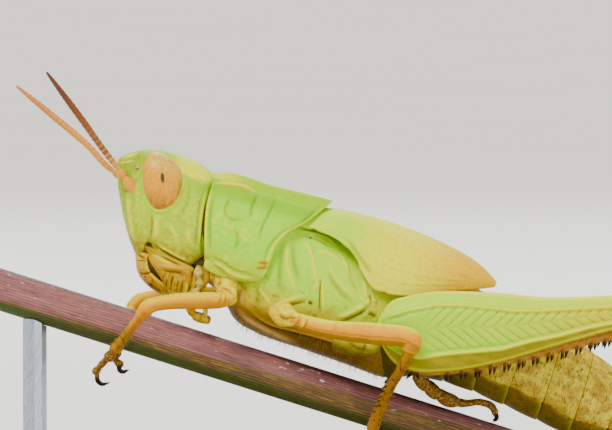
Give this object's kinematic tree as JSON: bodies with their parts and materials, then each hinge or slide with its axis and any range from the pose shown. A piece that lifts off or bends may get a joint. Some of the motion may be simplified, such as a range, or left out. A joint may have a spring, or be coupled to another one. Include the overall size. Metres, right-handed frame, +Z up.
{
  "type": "grasshopper on a display stand",
  "caption": "Life-size green short-horned grasshopper with short wing pads and folded jumping legs, gripping a cut plant stem held by steel rods on a small wooden base.",
  "frame": {"origin": "on the floor, under the middle of the base plate", "axes": "+X from the head's end to the tail's end of the base, +Z up; the animal's left side faces -Y"},
  "size_m": [0.035, 0.017, 0.0218],
  "materials": {
    "head_green": "satin shell, pale green with soft mottling",
    "shield_green": "satin shell, bright green with pale flecks",
    "flank_green": "satin shell, green turning ochre below",
    "wing_yellow": "satin wing pad, lime to yellow to orange",
    "thigh_green": "satin shell, green with cream ridges and an olive lower band",
    "belly_olive": "satin shell, yellow-olive with brown specks",
    "leg_tan": "satin, orange-tan",
    "shin_brown": "satin, tan to dark brown, with near-black spines and claws",
    "mouth_tan": "satin, olive-tan with brown streaks",
    "feeler_red": "satin, red-brown with pale rings",
    "eye_orange": "gloss, peach-orange with fine brown specks",
    "stem_mauve": "satin, mauve above and green below, finely striped",
    "stand_wood": "satin oiled wood",
    "stand_steel": "brushed"
  },
  "bodies": {
    "root": {"abdomen_1": "belly_olive", "abdomen_2": "belly_olive", "abdomen_3": "belly_olive", "abdomen_4": "belly_olive", "abdomen_5": "belly_olive", "abdomen_6": "belly_olive", "abdomen_7": "belly_olive", "abdomen_8": "belly_olive", "abdomen_9": "belly_olive", "abdomen_tip": "belly_olive", "antenna_left": "feeler_red", "antenna_right": "feeler_red", "clypeus": "mouth_tan", "eye_left": "eye_orange", "eye_right": "eye_orange", "foreleg_left_coxa": "leg_tan", "foreleg_left_femur": "leg_tan", "foreleg_left_tarsus": "shin_brown", "foreleg_left_tibia": "leg_tan", "foreleg_right_coxa": "leg_tan", "foreleg_right_femur": "leg_tan", "foreleg_right_tarsus": "shin_brown", "foreleg_right_tibia": "leg_tan", "head": "head_green", "hindleg_left_coxa": "belly_olive", "hindleg_left_femur": "thigh_green", "hindleg_left_tarsus": "shin_brown", "hindleg_left_tibia": "shin_brown", "hindleg_right_coxa": "belly_olive", "hindleg_right_femur": "thigh_green", "hindleg_right_tarsus": "shin_brown", "hindleg_right_tibia": "shin_brown", "labium": "mouth_tan", "labrum": "mouth_tan", "mandible_left": "mouth_tan", "mandible_right": "mouth_tan", "mesothorax": "flank_green", "metathorax": "flank_green", "midleg_left_coxa": "leg_tan", "midleg_left_femur": "leg_tan", "midleg_left_tarsus": "shin_brown", "midleg_left_tibia": "leg_tan", "midleg_right_coxa": "leg_tan", "midleg_right_femur": "leg_tan", "midleg_right_tarsus": "shin_brown", "midleg_right_tibia": "leg_tan", "palp_left": "mouth_tan", "palp_right": "mouth_tan", "perch_stem": "stem_mauve", "pronotum": "shield_green", "prosternum": "belly_olive", "stand_base": "stand_wood", "stand_rod_front": "stand_steel", "stand_rod_rear": "stand_steel", "wing_left": "wing_yellow", "wing_right": "wing_yellow"}
  },
  "joints": []
}
